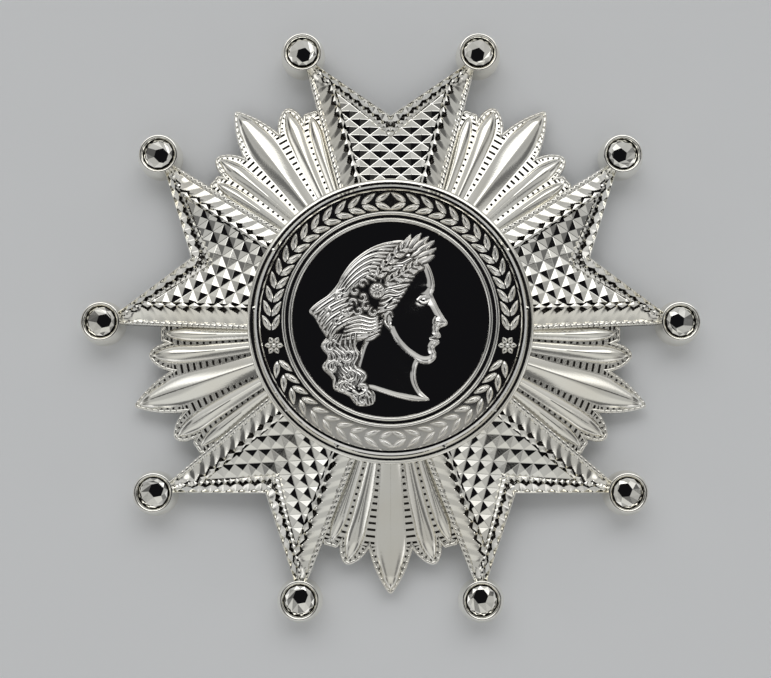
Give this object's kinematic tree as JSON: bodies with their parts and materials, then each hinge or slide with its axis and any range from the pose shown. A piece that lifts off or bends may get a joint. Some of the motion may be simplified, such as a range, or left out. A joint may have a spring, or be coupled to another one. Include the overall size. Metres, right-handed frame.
{
  "type": "breast star",
  "caption": "Domed silver breast star with double-pointed faceted arms, rays between them, faceted studs in cups on its points and a round medallion with a head in relief.",
  "frame": {"origin": "middle of the star, on the surface that its ten cups rest on", "axes": "+Z out of the star's face, +Y to the top of the star as worn, between the two points of the top arm"},
  "size_m": [0.09, 0.0858, 0.0095],
  "materials": {
    "cast_silver": "bright cast and chased silver",
    "faceted_silver": "polished facets",
    "polished_silver": "polished",
    "dark_band": "frosted ground with bright raised leaves",
    "mirror_disc": "mirror ground with a satin relief",
    "pin_silver": "plain"
  },
  "bodies": {
    "root": {"star_body": "cast_silver", "tip_stud_01": "faceted_silver", "tip_stud_02": "faceted_silver", "tip_stud_03": "faceted_silver", "tip_stud_04": "faceted_silver", "tip_stud_05": "faceted_silver", "tip_stud_06": "faceted_silver", "tip_stud_07": "faceted_silver", "tip_stud_08": "faceted_silver", "tip_stud_09": "faceted_silver", "tip_stud_10": "faceted_silver", "medallion_case": "polished_silver", "legend_ring": "dark_band", "inner_ring": "polished_silver", "centre_disc": "mirror_disc", "back_pin": "pin_silver"}
  },
  "joints": []
}
